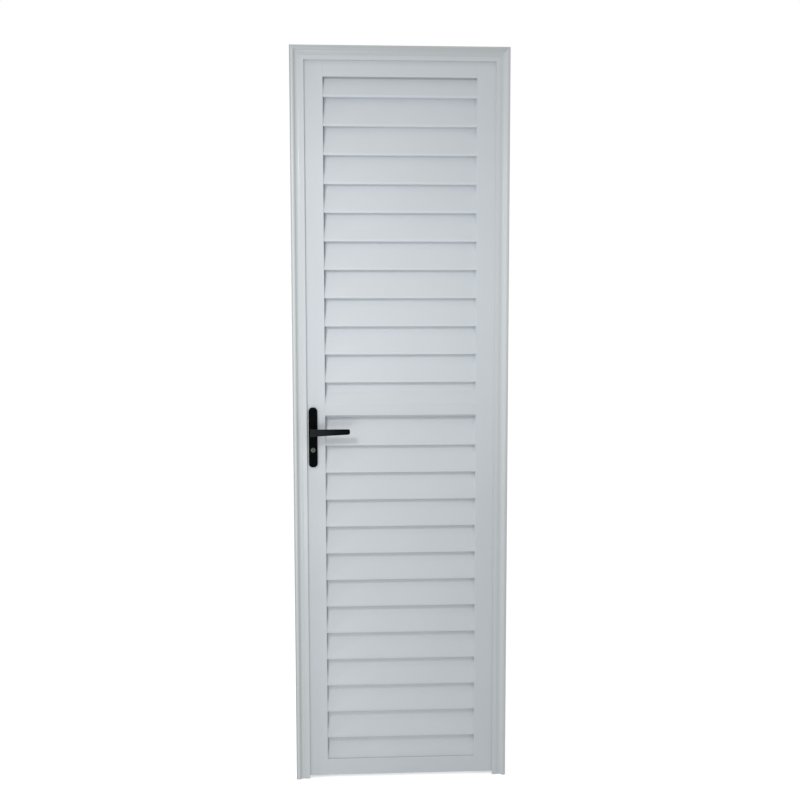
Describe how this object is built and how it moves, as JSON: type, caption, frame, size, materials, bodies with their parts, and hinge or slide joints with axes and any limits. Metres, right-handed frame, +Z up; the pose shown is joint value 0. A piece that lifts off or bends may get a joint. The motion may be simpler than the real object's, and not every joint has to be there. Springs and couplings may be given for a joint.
{
  "type": "louvred door",
  "caption": "Narrow painted aluminium louvred door leaf hinged in its moulded frame, with a mid rail, overlapping sloped slats and a lever handle on a long plate.",
  "frame": {"origin": "on the wall face of the hinge jamb, at floor level, in the plane of the frame's flat front strip", "axes": "+X out of the hinge jamb's wall face, +Y from outside to inside, +Z up"},
  "size_m": [0.6, 0.128, 2.05],
  "materials": {
    "frame_white": "satin white powder coat",
    "leaf_white": "satin white powder coat",
    "slat_white": "satin white powder coat",
    "hinge_white": "satin white paint",
    "handle_black": "matt black paint",
    "lever_black": "satin black paint",
    "cylinder_nickel": "dull nickel",
    "lock_steel": "brushed"
  },
  "bodies": {
    "frame": {"hinge_jamb": "frame_white", "lock_jamb": "frame_white", "head": "frame_white", "strike_plate": "lock_steel", "lower_frame_hinge": "hinge_white", "middle_frame_hinge": "hinge_white", "upper_frame_hinge": "hinge_white"},
    "leaf": {"lock_stile": "leaf_white", "hinge_stile": "leaf_white", "top_rail": "leaf_white", "mid_rail": "leaf_white", "bottom_rail": "leaf_white", "upper_slat_01": "slat_white", "upper_slat_02": "slat_white", "upper_slat_03": "slat_white", "upper_slat_04": "slat_white", "upper_slat_05": "slat_white", "upper_slat_06": "slat_white", "upper_slat_07": "slat_white", "upper_slat_08": "slat_white", "upper_slat_09": "slat_white", "upper_slat_10": "slat_white", "upper_slat_11": "slat_white", "upper_slat_12": "slat_white", "lower_slat_01": "slat_white", "lower_slat_02": "slat_white", "lower_slat_03": "slat_white", "lower_slat_04": "slat_white", "lower_slat_05": "slat_white", "lower_slat_06": "slat_white", "lower_slat_07": "slat_white", "lower_slat_08": "slat_white", "lower_slat_09": "slat_white", "lower_slat_10": "slat_white", "lower_slat_11": "slat_white", "lower_slat_12": "slat_white", "lower_slat_13": "slat_white", "lower_leaf_hinge": "hinge_white", "middle_leaf_hinge": "hinge_white", "upper_leaf_hinge": "hinge_white", "front_plate": "handle_black", "rear_plate": "handle_black", "key_cylinder": "cylinder_nickel", "lock_case": "lock_steel"},
    "handle": {"front_lever": "lever_black", "rear_lever": "lever_black", "spindle": "lock_steel"}
  },
  "joints": [
    {"name": "leaf_swing", "type": "hinge", "parent": "frame", "child": "leaf", "pos_m": [-0.02675, 0.043, 0], "axis": [0, 0, -1], "range_deg": [0, 110]},
    {"name": "lever_turn", "type": "hinge", "parent": "leaf", "child": "handle", "pos_m": [-0.545, 0.022, 1.002], "axis": [0, 1, 0], "range_deg": [0, 45], "stiffness_Nm_per_rad": 1, "springref_deg": -28.65}
  ]
}
